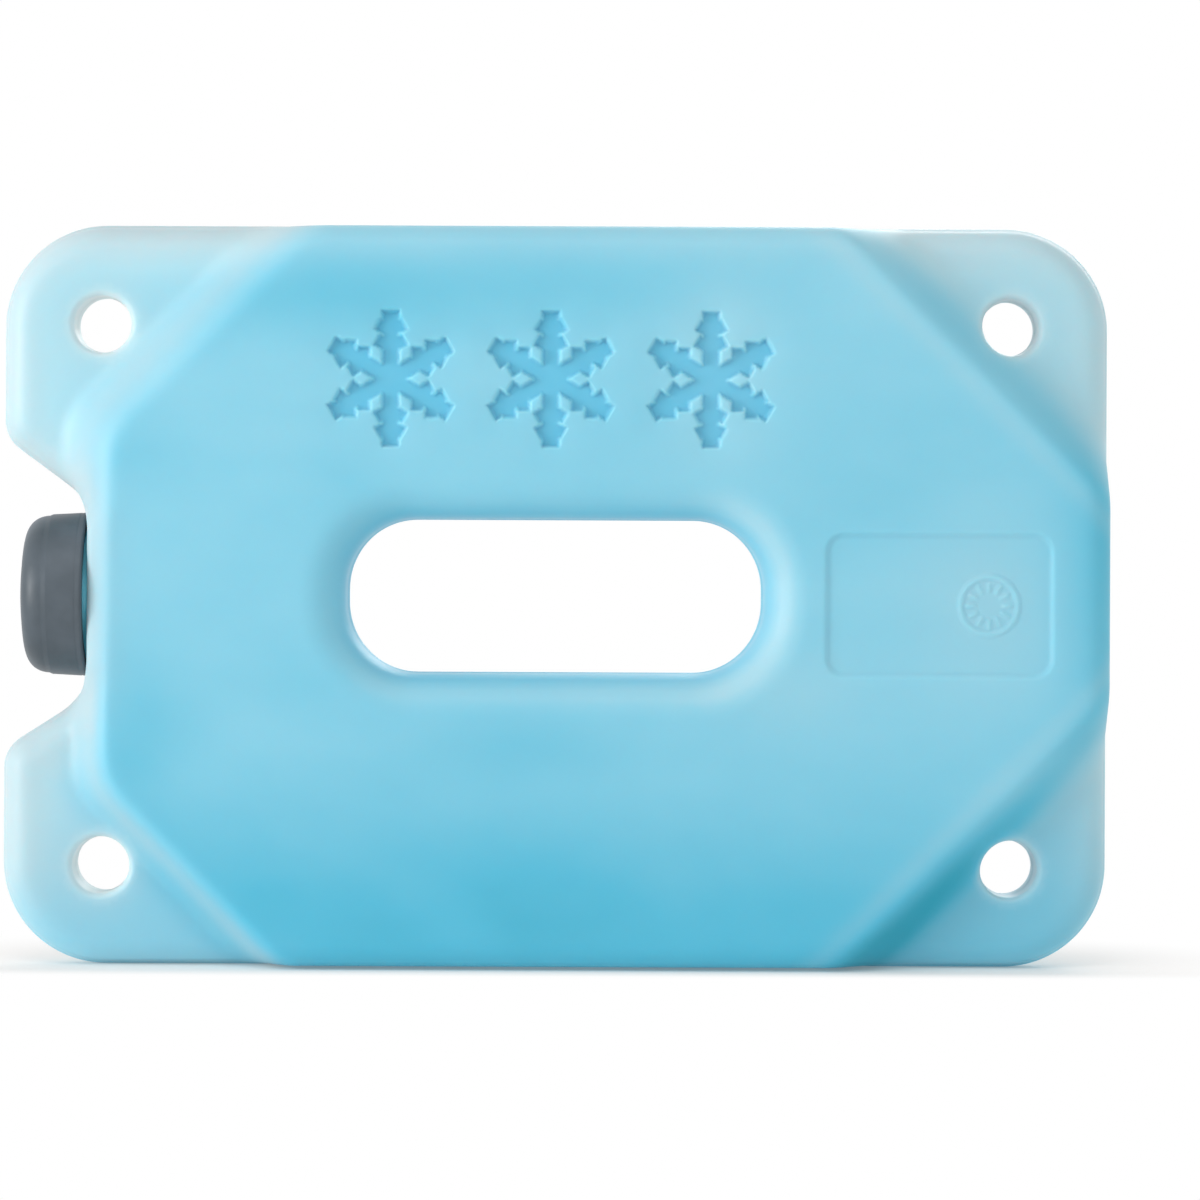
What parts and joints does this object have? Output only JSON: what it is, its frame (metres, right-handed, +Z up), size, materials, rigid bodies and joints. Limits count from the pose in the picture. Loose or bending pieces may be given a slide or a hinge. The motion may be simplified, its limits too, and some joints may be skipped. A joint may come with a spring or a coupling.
{
  "type": "reusable ice pack",
  "caption": "Flat hard-shell reusable ice pack with a finger slot, thin drilled corners, bevelled filled middle and a sealed filler cap in a side recess.",
  "frame": {"origin": "middle of the long bottom edge, in the plane that the pack stands on", "axes": "+X along the long edge, away from the filler cap; +Y through the thickness, from the front with the label panel to the back; +Z up from the bottom edge"},
  "size_m": [0.203, 0.031, 0.1359],
  "materials": {
    "translucent_shell": "satin, milky, blue filling showing through",
    "grey_cap": "satin",
    "foam_seal": "matte"
  },
  "bodies": {
    "root": {"pack_body": "translucent_shell", "filler_cap": "grey_cap", "seal_disc": "foam_seal"}
  },
  "joints": []
}
